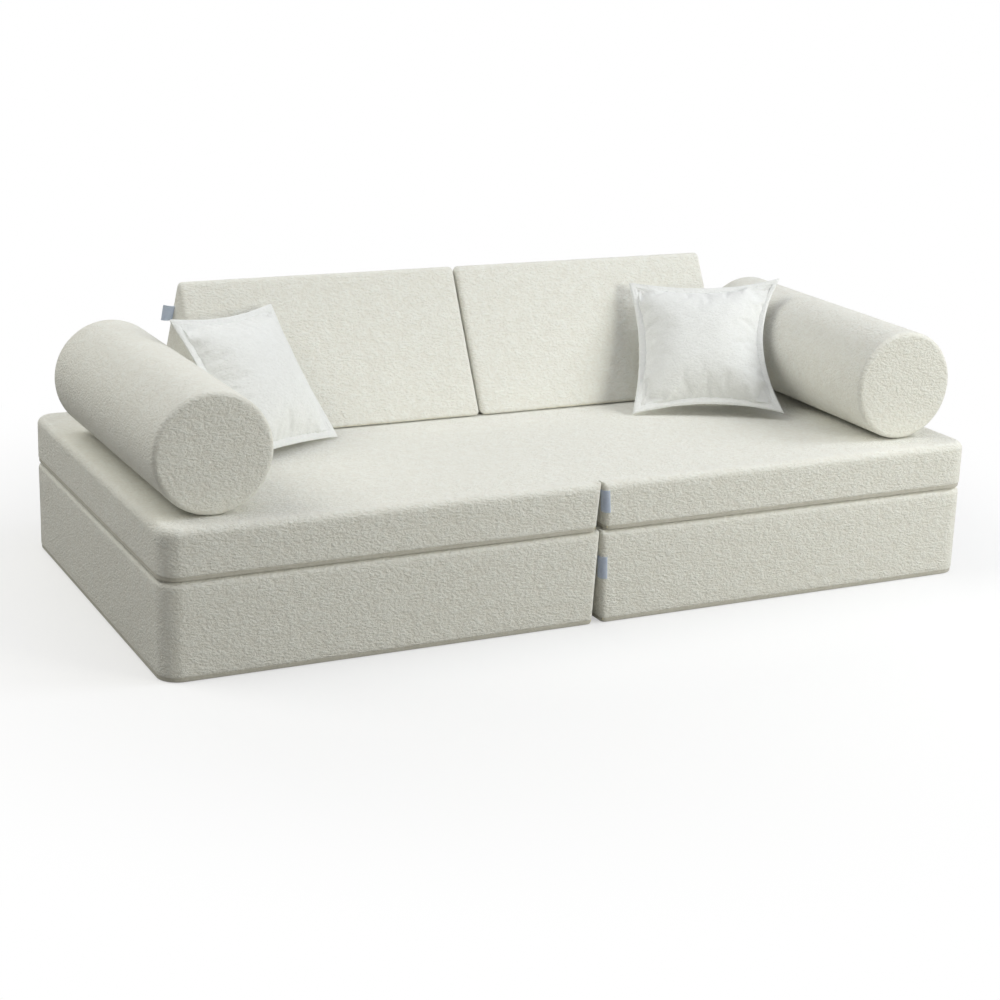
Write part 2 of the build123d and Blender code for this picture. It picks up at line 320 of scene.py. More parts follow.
class Wardrobe:
    """Every material of the sofa, built once."""

    def __init__(self) -> None:
        """Build the shared group and the materials."""
        curls = CurlRelief().build()
        self.boucle = BOUCLE.build(curls)
        self.pillow = PILLOW_PILE.build(curls)
        self.lining = LINING_WITH_PAINTED_SHADE.build(curls)
        self.tag = TAG_CLOTH.build(curls)
        self.tape = ZIP_TAPE.build(curls)
        self.foam = FOAM.build(curls)
        self.fibre = FIBRE.build(curls)
        self.metal = MetalFinish().build()

    def for_node(self, name: str) -> bpy.types.Material:
        """Choose the material of a carried-over node.

        Args:
            name: Name of the node.

        Returns:
            The material for what that node is made of.
        """
        endings = {
            "_zip_slider": self.metal,
            "_zip_pull": self.metal,
            "_zip": self.tape,
            "_tag": self.tag,
            "_insert": self.fibre,
            "_foam": self.foam,
        }
        return next((material for ending, material in endings.items() if name.endswith(ending)), self.boucle)


# ---------------------------------------------------------------- mesh helpers


def deselect() -> None:
    """Leave edit mode with nothing selected."""
    if bpy.context.object and bpy.context.object.mode != "OBJECT":
        bpy.ops.object.mode_set(mode="OBJECT")
    bpy.ops.object.select_all(action="DESELECT")


def activate(piece: Piece) -> None:
    """Make one object the only selected and active one."""
    deselect()
    piece.select_set(True)
    bpy.context.view_layer.objects.active = piece


@contextmanager
def editing(piece: Piece) -> Iterator[None]:
    """Hold a piece in edit mode, all of it selected.

    Args:
        piece: Mesh to edit.

    Yields:
        Once, in edit mode.
    """
    activate(piece)
    bpy.ops.object.mode_set(mode="EDIT")
    bpy.ops.mesh.select_all(action="SELECT")
    yield
    bpy.ops.object.mode_set(mode="OBJECT")


def named(name: str) -> Piece:
    """Name the object that was just added, and its mesh, and return it."""
    piece = bpy.context.object
    piece.name = piece.data.name = name
    return piece


def settle(piece: Piece) -> None:
    """Put an object's place into its mesh."""
    activate(piece)
    bpy.ops.object.transform_apply(location=True, rotation=True, scale=True)


def add_block(name: str, middle: Place, size: Place) -> Piece:
    """Add a plain block, from which a piece is shaped.

    Args:
        name: Name of the piece.
        middle: Middle of the block.
        size: Its three sides.

    Returns:
        The block.
    """
    deselect()
    bpy.ops.mesh.primitive_cube_add(size=1.0, location=middle, scale=size)
    piece = named(name)
    settle(piece)
    return piece


def cut_across(piece: Piece, axis: Vector, places: list[float]) -> None:
    """Cut an edge loop round a piece at each place along an axis.

    Args:
        piece: Mesh to cut.
        axis: Direction along which the places are counted.
        places: Distances from the origin.
    """
    with editing(piece):
        for place in places:
            bpy.ops.mesh.select_all(action="SELECT")
            bpy.ops.mesh.bisect(plane_co=axis * place, plane_no=axis)


def even_cuts(length: float, parts: int) -> list[float]:
    """List the cuts that divide a length about the origin into equal parts.

    Args:
        length: The whole length.
        parts: One more than the number of parts.

    Returns:
        The places of the cuts.
    """
    return list(np.linspace(-length / 2, length / 2, parts)[1:-1])


def close_pairs(low: float, high: float, lip: float) -> list[float]:
    """List a pair of cuts at each end of a slot, so that its walls stay steep.

    Args:
        low: First end of the slot.
        high: Its second end.
        lip: Distance of each cut from the end.

    Returns:
        The four places.
    """
    return [low - lip, low + lip, high - lip, high + lip]


def points_of(piece: Piece) -> np.ndarray:
    """Read a mesh's vertices as an array of three columns."""
    places = np.empty(len(piece.data.vertices) * 3)
    piece.data.vertices.foreach_get("co", places)
    return places.reshape(-1, 3)


def move_points(piece: Piece, places: np.ndarray) -> None:
    """Write a mesh's vertices from an array of three columns."""
    piece.data.vertices.foreach_set("co", places.reshape(-1))
    piece.data.update()


def finish_mesh(piece: Piece, material: bpy.types.Material, angle: float = 60.0) -> None:
    """Close a mesh's seams, turn its faces outwards, smooth it and dress it.

    Args:
        piece: Mesh to finish.
        material: Its material.
        angle: Edges sharper than this many degrees stay sharp.
    """
    with editing(piece):
        bpy.ops.mesh.remove_doubles(threshold=1e-6)
        bpy.ops.mesh.normals_make_consistent(inside=False)
    bpy.ops.object.shade_smooth_by_angle(angle=math.radians(angle))
    piece.data.materials.clear()
    piece.data.materials.append(material)


def hand_over(piece: Piece, body: str, node: str) -> None:
    """Hang a finished piece on its body's empty and hide the CAD node that it stands for.

    Args:
        piece: The finished piece.
        body: Body that carries it.
        node: CAD node that it stands for.
    """
    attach(piece, body)
    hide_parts(node)


def copy_of(piece: Piece, name: str) -> Piece:
    """Copy a piece with a mesh of its own.

    Args:
        piece: Object to copy.
        name: Name of the copy.

    Returns:
        The copy, linked to the scene.
    """
    twin = piece.copy()
    twin.data = piece.data.copy()
    twin.name = twin.data.name = name
    bpy.context.collection.objects.link(twin)
    return twin


def turned(across: Vector, upward: Vector, outward: Vector, middle: Vector) -> Matrix:
    """Build the matrix that turns and moves a mesh.

    Args:
        across: Where its X goes.
        upward: Where its Y goes.
        outward: Where its Z goes.
        middle: Where its origin goes.

    Returns:
        The matrix.
    """
    matrix = Matrix.Identity(4)
    for column, value in enumerate((across, upward, outward, middle)):
        matrix.col[column][:3] = value
    return matrix


def softness(x: float, y: float, z: float, coarse: float, seed: float) -> float:
    """Give a smooth random value for a place on a cover.

    Args:
        x: Place along X.
        y: Place along Y.
        z: Place along Z.
        coarse: Waves in one metre.
        seed: Moves the pattern, so that each cover has its own.

    Returns:
        A value from about -1 to 1.
    """
    return noise.noise(Vector((x * coarse + seed, y * coarse, z * coarse - seed)))


def soften(piece: Piece, depth: float, coarse: float, seed: float) -> None:
    """Sink a cover's surface here and there, as cloth over foam does.

    Args:
        piece: Mesh to soften.
        depth: Deepest dip.
        coarse: Waves in one metre.
        seed: Moves the pattern.
    """
    places = points_of(piece)
    normals = np.empty(places.size)
    piece.data.vertices.foreach_get("normal", normals)
    for index, (place, normal) in enumerate(zip(places, normals.reshape(-1, 3))):
        broad = softness(*place, coarse, seed)
        fine = softness(*place, coarse * 4.5, seed + 3.0)
        places[index] = place - normal * depth * (0.5 + 0.35 * broad + 0.15 * fine)
    move_points(piece, places)


def round_edge(along: float, radius: float) -> tuple[float, float]:
    """Roll a sharp edge into a quarter round.

    Args:
        along: Distance from the edge, below 0 on the top and above 0 down the side.
        radius: Radius of the round.

    Returns:
        Distance in from the side and distance down from the top.
    """
    if along <= -radius:
        return -along, 0.0
    if along >= radius:
        return 0.0, along
    turn = math.radians(45.0) * (1.0 + along / radius)
    return radius * (1.0 - math.sin(turn)), radius * (1.0 - math.cos(turn))


def spread(low: float, high: float, fine: float, rim: float, coarse: float) -> list[float]:
    """List places that lie close together near both ends and further apart between.

    Args:
        low: First end.
        high: Second end.
        fine: Step near the ends.
        rim: Width of the fine zone.
        coarse: Longest step between.

    Returns:
        The places, without the ends.
    """
    count = max(1, round(rim / fine))
    start = [low + rim * (step + 1) / count for step in range(count)]
    end = [high - rim * (step + 1) / count for step in range(count)]
    span = (high - rim) - (low + rim)
    middle = max(1, math.ceil(span / coarse))
    between = [low + rim + span * (step + 1) / middle for step in range(middle - 1)]
    return sorted(start + between + end)


# ---------------------------------------------------------------- mattresses


@dataclass
class Mattress:
    """One folding mattress: two covered panels, their hems, the cloth hinge and a tag."""

    name: str
    wardrobe: Wardrobe
    seed: float
    top_radius: float = 0.018
    inner_top_radius: float = 0.0015
    bottom_radius: float = 0.006
    outer_corner: float = 0.045
    inner_corner: float = 0.011
    hem_height: float = 0.0098
    hem_inset: float = 0.0018
    hem_overlap: float = 0.003
    hem_radius: float = 0.003
    draft: float = 0.009
    slot_depth: float = 0.0034
    slot_lip: float = 0.0004
    hinge_run: float = 0.022
    hinge_bends: tuple[float, ...] = (0.001, 0.003, 0.006, 0.012, 0.020)
    hinge_rim: float = 0.008
    hinge_round: float = 0.0009
    tag_thickness: float = 0.0009
    tag_lift: float = 0.0007
    tag_start: float = 0.001
    dip: float = 0.0016
    dips_per_metre: float = 5.0
    fine_step: float = 0.0045
    coarse_step: float = 0.030

    def __post_init__(self) -> None:
        """Read the panel's box from the frame."""
        low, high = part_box(f"{self.name}_right_cover")
        hem_low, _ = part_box(f"{self.name}_right_underside")
        self.inner, self.outer = low[0], high[0]
        self.front, self.rear = low[1], high[1]
        self.top, self.floor = high[2], hem_low[2]

    def inner_face(self, z: float) -> float:
        """Give the inner side's X at a height."""
        return self.inner + self.draft * (self.top - z) / (self.top - self.floor)

    def outline(self, inset: float) -> tuple[float, float, float, float]:
        """Give the panel's inner, outer, front and rear sides, drawn in by an inset."""
        return self.inner + inset, self.outer - inset, self.front + inset, self.rear - inset

    def shape(self, place: np.ndarray, low: float, high: float, inset: float, radii: tuple[float, float]) -> None:
        """Move one point of a plain box onto the soft panel.

        Args:
            place: The point, changed in place.
            low: Bottom of the box.
            high: Top of the box.
            inset: How far the outline is drawn in.
            radii: Rounding of the top and of the bottom edge.
        """
        x, y, z = place
        x0, x1, y0, y1 = self.outline(inset)
        outer = x > (x0 + x1) / 2
        corner = self.outer_corner if outer else self.inner_corner
        over_x = max(corner - ((x1 - x) if outer else (x - x0)), 0.0)
        over_y = max(corner - (y - y0), corner - (y1 - y), 0.0)
        sign_x, sign_y = (1.0 if outer else -1.0), (1.0 if y > 0 else -1.0)
        if over_x > 0 and over_y > 0:
            square, round_ = max(over_x, over_y), math.hypot(over_x, over_y)
            inwards = corner - square
            nx, ny = sign_x * over_x / round_, sign_y * over_y / round_
            x += sign_x * (over_x * square / round_ - over_x)
            y += sign_y * (over_y * square / round_ - over_y)
        else:
            gap_x, gap_y = min(x - x0, x1 - x), min(y - y0, y1 - y)
            inwards = min(gap_x, gap_y)
            nx, ny = (sign_x, 0.0) if gap_x < gap_y else (0.0, sign_y)
        inner_share = max(0.0, -nx) ** 2
        top_radius = radii[0] * (1.0 - inner_share) + self.inner_top_radius * inner_share
        down, up = high - z, z - low
        if down < TINY or (inwards < TINY and down <= up):
            new_in, new_down = round_edge(down - inwards, top_radius)
            z = high - new_down
        else:
            new_in, new_up = round_edge(up - inwards, radii[1])
            z = low + new_up
        x, y = x - nx * (new_in - inwards), y - ny * (new_in - inwards)
        lean = self.inner_face(z) - self.inner
        place[:] = (x + lean * (x1 - x) / (x1 - x0), y, z)

    def slab(self, name: str, low: float, high: float, inset: float, radii: tuple[float, float], slot: bool) -> Piece:
        """Make a right-hand slab with soft edges.

        Args:
            name: Name of the object.
            low: Its bottom.
            high: Its top.
            inset: How far its outline is drawn in.
            radii: Rounding of the top and of the bottom edge.
            slot: True where the rear face is sunk for the zip.

        Returns:
            The slab.
        """
        x0, x1, y0, y1 = self.outline(inset)
        middle = ((x0 + x1) / 2, (y0 + y1) / 2, (low + high) / 2)
        piece = add_block(name, middle, (x1 - x0, y1 - y0, high - low))
        fine_z = min(radii[0], (high - low) / 3)
        xs = spread(x0, x1, self.fine_step, self.outer_corner, self.coarse_step)
        ys = spread(y0, y1, self.fine_step, self.outer_corner, self.coarse_step)
        zs = [high - fine_z * part for part in RIM_SHARES]
        zs += [low + radii[1] * part for part in (0.33, 0.67, 1.0)]
        zip_low, zip_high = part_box(f"{self.name}_right_zip")
        if slot:
            zs += list(np.linspace(low + radii[1], high - fine_z, 7)[1:-1])
            xs += close_pairs(zip_low[0], zip_high[0], self.slot_lip)
            zs += close_pairs(zip_low[2], zip_high[2], self.slot_lip)
        for axis, cuts in ((X_AXIS, xs), (Y_AXIS, ys), (Z_AXIS, zs)):
            cut_across(piece, axis, sorted(cuts))
        places = points_of(piece)
        sunk = []
        for index, place in enumerate(places):
            x, y, z = place
            if slot and y > y1 - TINY and zip_low[0] < x < zip_high[0] and zip_low[2] < z < zip_high[2]:
                sunk.append(index)
            self.shape(place, low, high, inset, radii)
        move_points(piece, places)
        if slot:
            soften(piece, self.dip, self.dips_per_metre, self.seed)
            places = points_of(piece)
            places[sunk, 1] = self.rear - self.slot_depth
            move_points(piece, places)
        return piece

    def twin(self, piece: Piece, name: str) -> Piece:
        """Mirror a right-hand piece into its left-hand twin.

        Args:
            piece: Right-hand piece.
            name: Name of the twin.

        Returns:
            The twin.
        """
        left = copy_of(piece, name)
        left.data.transform(Matrix.Scale(-1.0, 4, X_AXIS))
        return left

    def hinge_cloth(self) -> Piece:
        """Make the strip of top cloth that joins the panels."""
        low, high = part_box(f"{self.name}_hinge")
        level = (low[2] + high[2]) / 2
        size = (high[0] - low[0], high[1] - low[1] + 2 * self.hinge_run, high[2] - low[2])
        piece = add_block(f"{self.name}_hinge_cloth", (0.0, (low[1] + high[1]) / 2, level), size)
        cut_across(piece, X_AXIS, sorted(sign * bend for sign in (-1, 1) for bend in self.hinge_bends))
        cut_across(piece, Y_AXIS, spread(low[1], high[1], 0.01, 0.04, self.coarse_step))
        places = points_of(piece)
        for place in places:
            edge = max(0.0, 1.0 - (high[0] - abs(place[0])) / self.hinge_rim)
            place[2] -= (self.hinge_round * edge if place[2] > level else 0.0) + self.dip * 0.5
        move_points(piece, places)
        finish_mesh(piece, self.wardrobe.boucle)
        return piece

    def tag_cloth(self) -> Piece:
        """Make the bare tag, sewn flat round the right panel's front inner corner."""
        low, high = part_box(f"{self.name}_tag")
        width, height = high[1] - low[1], high[2] - low[2]
        piece = add_block(f"{self.name}_tag_cloth", (0.0, 0.0, 0.0), (width, self.tag_thickness, height))
        cut_across(piece, X_AXIS, even_cuts(width, 14))
        cut_across(piece, Z_AXIS, even_cuts(height, 12))
        places = points_of(piece)
        corner = self.inner_corner
        middle = (low[2] + high[2]) / 2
        quarter = corner * math.pi / 2
        for place in places:
            z = middle + place[2]
            out = self.tag_lift - place[1]
            inner = self.inner_face(z)
            run = place[0] + width / 2 - self.tag_start
            if run < quarter:
                angle = run / corner
                x = inner + corner - (corner + out) * math.sin(angle)
                y = self.front + corner - (corner + out) * math.cos(angle)
            else:
                x, y = inner - out, self.front + corner + run - quarter
            place[:] = (x, y, z)
        move_points(piece, places)
        finish_mesh(piece, self.wardrobe.tag, 40.0)
        return piece

    def build(self) -> None:
        """Build and dress the whole mattress."""
        name = self.name
        hem_top = self.floor + self.hem_height
        radii = (self.top_radius, self.bottom_radius)
        cover = self.slab(f"{name}_right_boucle", hem_top - self.hem_overlap, self.top, 0.0, radii, True)
        radii = (self.inner_top_radius, self.hem_radius)
        hem = self.slab(f"{name}_right_hem", self.floor, hem_top, self.hem_inset, radii, False)
        pieces = {Side.RIGHT: (cover, hem)}
        pieces[Side.LEFT] = (self.twin(cover, f"{name}_left_boucle"), self.twin(hem, f"{name}_left_hem"))
        for side, (boucle, lining) in pieces.items():
            body = f"{name}_{side.value}"
            finish_mesh(boucle, self.wardrobe.boucle, 50.0)
            finish_mesh(lining, self.wardrobe.lining, 50.0)
            hand_over(boucle, body, f"{body}_cover")
            hand_over(lining, body, f"{body}_underside")
            LOG.info("%s: cover and hem", body)
        hinge = self.hinge_cloth()
        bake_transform(hinge)
        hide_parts(f"{name}_hinge")
        tag = self.tag_cloth()
        hand_over(tag, f"{name}_right", f"{name}_tag")
        LOG.info("%s: hinge cloth and tag", name)


# ---------------------------------------------------------------- rolls: backs and bolsters


@dataclass
class SoftRoll:
    """A long foam piece: one outline carried along an axis, with soft ends."""

    name: str
    material: bpy.types.Material
    seed: float
    end_radius: float
    dip: float = 0.0016
    dips_per_metre: float = 6.0
    end_rings: tuple[float, ...] = (0.35, 0.55, 0.75, 0.92)
    slot_depth: float = 0.0034
    slot_half: float = 0.0075
    slot_lip: float = 0.0005
    step: float = 0.03

    def outline(self) -> list[tuple[float, float]]:
        """List the outline's points, counter-clockwise, about its middle."""
        raise NotImplementedError

    def place(self) -> Matrix:
        """Give the matrix from the roll's own frame, with its length along Z, to the sofa's."""
        raise NotImplementedError

    def reach(self) -> float:
        """Give the distance from the outline's middle to its nearest side."""
        raise NotImplementedError

    def length(self) -> float:
        """Give the length of the roll."""
        raise NotImplementedError

    def slot_points(self) -> tuple[set[int], tuple[float, float]]:
        """Give the outline's points that the zip sinks, and where it starts and ends."""
        raise NotImplementedError

    def drawn_in(self, corner: int, depth: float) -> tuple[float, float]:
        """Give one of the outline's points after the outline is drawn in.

        Args:
            corner: Number of the point.
            depth: How far the outline is drawn in.

        Returns:
            The point.
        """
        raise NotImplementedError

    def sink(self, place: np.ndarray) -> Place:
        """Move a point of the zip's slot to the bottom of the slot."""
        raise NotImplementedError

    def fill_ends(self, piece: Piece, corners: int, rings: list[float]) -> None:
        """Divide both end faces into rings round a middle point.

        Args:
            piece: The cylinder.
            corners: Number of points in its outline.
            rings: Distance of each ring from the rim, as a share of the radius.
        """
        bpy.ops.object.mode_set(mode="EDIT")
        bpy.ops.mesh.select_mode(type="FACE")
        for end in (1, -1):
            done = 0.0
            bpy.ops.mesh.select_all(action="DESELECT")
            bpy.ops.object.mode_set(mode="OBJECT")
            for face in piece.data.polygons:
                face.select = len(face.vertices) > 4 and face.center.z * end > 0
            bpy.ops.object.mode_set(mode="EDIT")
            for share in rings:
                bpy.ops.mesh.inset(thickness=(share - done) * math.cos(math.pi / corners))
                done = share
            bpy.ops.mesh.poke()
        bpy.ops.object.mode_set(mode="OBJECT")

    def build(self) -> Piece:
        """Model the roll from a cylinder.

        Returns:
            The finished cover.
        """
        ring = self.outline()
        half = self.length() / 2
        sunk_points, (zip_start, zip_end) = self.slot_points()
        deselect()
        bpy.ops.mesh.primitive_cylinder_add(vertices=len(ring), radius=1.0, depth=2 * half, end_fill_type="NGON")
        piece = named(self.name)
        radius, reach = self.end_radius, self.reach()
        rims = [radius * part for part in RIM_SHARES]
        cuts = [half - rim for rim in rims] + [rim - half for rim in rims]
        count = math.ceil(2 * (half - radius) / self.step)
        cuts += [radius - half + 2 * (half - radius) * part / count for part in range(1, count)]
        cuts += close_pairs(zip_start, zip_end, self.slot_lip)
        cut_across(piece, Z_AXIS, sorted(cuts))
        self.fill_ends(piece, len(ring), [rim / reach for rim in rims] + list(self.end_rings))
        places = points_of(piece)
        sunk = []
        for index, place in enumerate(places):
            x, y, z = place
            ratio = min(1.0, math.hypot(x, y))
            turn = math.atan2(x, y) if ratio > TINY else 0.0
            corner = round(turn / (2 * math.pi) * len(ring)) % len(ring)
            inwards = (1.0 - ratio) * reach
            if ratio > 0.9999 and corner in sunk_points and zip_start < z < zip_end:
                sunk.append(index)
            new_in, new_down = round_edge(half - abs(z) - inwards, radius)
            place[:] = (*self.drawn_in(corner, new_in), math.copysign(half - new_down, z))
        move_points(piece, places)
        with editing(piece):
            bpy.ops.mesh.normals_make_consistent(inside=False)
        soften(piece, self.dip, self.dips_per_metre, self.seed)
        places = points_of(piece)
        for index in sunk:
            places[index] = self.sink(places[index])
        move_points(piece, places)
        piece.data.transform(self.place())
        finish_mesh(piece, self.material, 50.0)
        return piece


@dataclass
class Bolster(SoftRoll):
    """A round bolster, lying with its axis towards the rear."""

    turn: float = 0.0
    points: int = 104
    zip_angle: float = math.radians(-40.0)
    zip_half: float = 0.28

    @cached_property
    def box(self) -> tuple[Vector, Vector]:
        """Read the cover's box from the frame."""
        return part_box(self.name.replace("_boucle", "_cover"))

    @cached_property
    def radius(self) -> float:
        """Give the bolster's radius."""
        low, high = self.box
        return (high.z - low.z) / 2

    def reach(self) -> float:
        """Give the distance from the axis to the cover."""
        return self.radius

    def length(self) -> float:
        """Give the bolster's length."""
        low, high = self.box
        tilt = abs(self.turn)
        return ((high.y - low.y) - 2 * self.radius * math.sin(tilt)) / math.cos(tilt)

    def outline(self) -> list[tuple[float, float]]:
        """List the circle's points, with close pairs at the zip's edges."""
        half, lip = self.slot_half / self.radius, self.slot_lip / self.radius
        near = close_pairs(self.zip_angle - half, self.zip_angle + half, lip)
        rest = self.points - len(near)
        start, span = near[-1], 2 * math.pi - 2 * (half + lip)
        angles = near + [start + span * (step + 1) / (rest + 1) for step in range(rest)]
        self.ring = [(self.radius * math.cos(angle), self.radius * math.sin(angle)) for angle in angles]
        return self.ring

    def drawn_in(self, corner: int, depth: float) -> tuple[float, float]:
        """Draw a point of the circle in towards the axis."""
        scale = 1.0 - depth / self.reach()
        return self.ring[corner][0] * scale, self.ring[corner][1] * scale

    def slot_points(self) -> tuple[set[int], tuple[float, float]]:
        """Give the sunk points and the zip's ends."""
        return {1, 2}, (-self.zip_half, self.zip_half)

    def sink(self, place: np.ndarray) -> Place:
        """Draw a point of the slot in towards the axis."""
        scale = (self.radius - self.slot_depth) / math.hypot(place[0], place[1])
        return place[0] * scale, place[1] * scale, place[2]

    def place(self) -> Matrix:
        """Lay the roll along Y, turned a little about Z."""
        low, high = self.box
        across = Vector((math.cos(self.turn), math.sin(self.turn), 0.0))
        along = Vector((-math.sin(self.turn), math.cos(self.turn), 0.0))
        return turned(across, Z_AXIS, along, (low + high) / 2)


@dataclass
class WedgeBack(SoftRoll):
    """A wedge back with a rounded ridge."""

    side: Side = Side.RIGHT
    peak_share: float = 0.486
    peak: float = 0.333
    ridge_radius: float = 0.014
    foot_radius: float = 0.008
    round_steps: int = 8
    side_steps: int = 14
    zip_rise: float = 0.045
    zip_half: float = 0.26

    @cached_property
    def box(self) -> tuple[Vector, Vector]:
        """Read the cover's box from the frame."""
        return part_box(f"back_{self.side.value}_cover")

    @cached_property
    def corners(self) -> list[Vector]:
        """Give the front foot, the rear foot and the point where the slopes would meet, in Y and Z."""
        low, high = self.box
        ridge = low.y + (high.y - low.y) * self.peak_share
        return [Vector((low.y, low.z)), Vector((high.y, low.z)), Vector((ridge, low.z + self.peak))]

    @cached_property
    def middle(self) -> tuple[Vector, float]:
        """Give the middle of the circle that touches all three sides, and its radius."""
        first, second, third = self.corners
        sides = ((third - second).length, (third - first).length, (second - first).length)
        around = sum(sides)
        centre = (first * sides[0] + second * sides[1] + third * sides[2]) / around
        area = abs((second - first).cross(third - first)) / 2
        return centre, 2 * area / around

    def reach(self) -> float:
        """Give the distance from the middle to each side."""
        return self.middle[1]

    def length(self) -> float:
        """Give the back's length."""
        low, high = self.box
        return high.x - low.x

    def outline(self) -> list[tuple[float, float]]:
        """List the triangle's points, with round corners and close pairs at the zip's edges."""
        centre, _ = self.middle
        corners = self.corners
        radii = (self.foot_radius, self.foot_radius, self.ridge_radius)
        points: list[Vector] = []
        self.ways: list[tuple[Vector, float, Vector]] = []
        for index, corner in enumerate(corners):
            before, after = corners[index - 1], corners[(index + 1) % 3]
            back, ahead = (before - corner).normalized(), (after - corner).normalized()
            half_angle = back.angle(ahead) / 2
            run = radii[index] / math.tan(half_angle)
            hub = corner + (back + ahead).normalized() * radii[index] / math.sin(half_angle)
            start = corner + back * run - hub
            sweep = math.pi - 2 * half_angle
            first = math.atan2(start.y, start.x)
            turns = [first + sweep * step / self.round_steps for step in range(self.round_steps + 1)]
            spokes = [Vector((math.cos(turn), math.sin(turn))) for turn in turns]
            points += [hub + spoke * radii[index] for spoke in spokes]
            inwards = (back + ahead).normalized() / math.sin(half_angle)
            self.ways += [(spoke, radii[index], inwards) for spoke in spokes]
            last = corner + ahead * run
            next_angle = (corner - after).normalized().angle((corners[(index + 2) % 3] - after).normalized()) / 2
            stop = after - ahead * radii[(index + 1) % 3] / math.tan(next_angle)
            span = (stop - last).length
            places = [span * step / self.side_steps for step in range(1, self.side_steps)]
            if index == 1:
                zip_at = self.zip_rise - run
                places = [place for place in places if abs(place - zip_at) > 0.013]
                places += [zip_at + sign * edge for sign in (-1, 1) for edge in (0.007, 0.008)]
            points += [last + (stop - last).normalized() * place for place in sorted(places)]
            self.ways += [(Vector((ahead.y, -ahead.x)), 1.0, Vector((0.0, 0.0)))] * len(places)
        self.ring = [(point.x - centre.x, point.y - centre.y) for point in points]
        return self.ring

    def drawn_in(self, corner: int, depth: float) -> tuple[float, float]:
        """Draw a point of the outline in at right angles, and further in towards the middle."""
        out, limit, inwards = self.ways[corner]
        near = min(depth, self.end_radius)
        spot = Vector(self.ring[corner]) - out * min(near, limit) + inwards * max(near - limit, 0.0)
        spot *= 1.0 - (depth - near) / (self.reach() - self.end_radius)
        return spot.x, spot.y

    @cached_property
    def slope(self) -> tuple[Vector, Vector, Vector]:
        """Give the rear foot, the way up the rear slope and the way out of it, in Y and Z."""
        _, foot, peak = self.corners
        up = (peak - foot).normalized()
        return foot, up, Vector((up.y, -up.x))

    def slot_points(self) -> tuple[set[int], tuple[float, float]]:
        """Give the sunk points and the zip's ends."""
        foot, up, out = self.slope
        centre, _ = self.middle
        chosen = set()
        for index, (y, z) in enumerate(self.ring):
            offset = Vector((y + centre.x, z + centre.y)) - foot
            if abs(offset.dot(out)) < 1e-4 and abs(offset.dot(up) - self.zip_rise) < self.slot_half:
                chosen.add(index)
        return chosen, (-self.zip_half, self.zip_half)

    def sink(self, place: np.ndarray) -> Place:
        """Draw a point of the slot in from the rear slope."""
        foot, _, out = self.slope
        centre, _ = self.middle
        depth = (Vector((place[0] + centre.x, place[1] + centre.y)) - foot).dot(out) + self.slot_depth
        return place[0] - out.x * depth, place[1] - out.y * depth, place[2]

    def place(self) -> Matrix:
        """Stand the roll on its foot, its length along X."""
        low, high = self.box
        centre, _ = self.middle
        return turned(Y_AXIS, Z_AXIS, X_AXIS, Vector(((low.x + high.x) / 2, centre.x, centre.y)))


@dataclass
class BackTag:
    """The bare tag that stands out of the left back's end seam."""

    back: WedgeBack
    material: bpy.types.Material
    sewn_in: float = 0.003
    thickness: float = 0.0009
    curl: float = 0.0035
    wave: float = 0.0012

    def build(self) -> Piece:
        """Make the tag.

        Returns:
            The tag.
        """
        low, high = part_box("back_tag")
        _, up, out = self.back.slope
        length, height = high[0] - low[0], (high[2] - low[2]) / up.y
        piece = add_block("back_tag_cloth", (0.0, 0.0, 0.0), (length + self.sewn_in, height, self.thickness))
        cut_across(piece, X_AXIS, even_cuts(length, 10))
        cut_across(piece, Y_AXIS, even_cuts(height, 8))
        middle = Vector(((low[0] + high[0]) / 2, (low[1] + high[1]) / 2, (low[2] + high[2]) / 2))
        upward, outward = Vector((0, up.x, up.y)), Vector((0, out.x, out.y))
        places = points_of(piece)
        for place in places:
            x, along, thick = place
            free = (length / 2 - x) / length
            curl = self.curl * free * free - self.wave * math.sin(3.0 * free + 40.0 * along)
            place[:] = middle + Vector((x + self.sewn_in / 2, 0, 0)) + upward * along + outward * (thick + curl)
        move_points(piece, places)
        finish_mesh(piece, self.material, 40.0)
        return piece


# ---------------------------------------------------------------- pillows


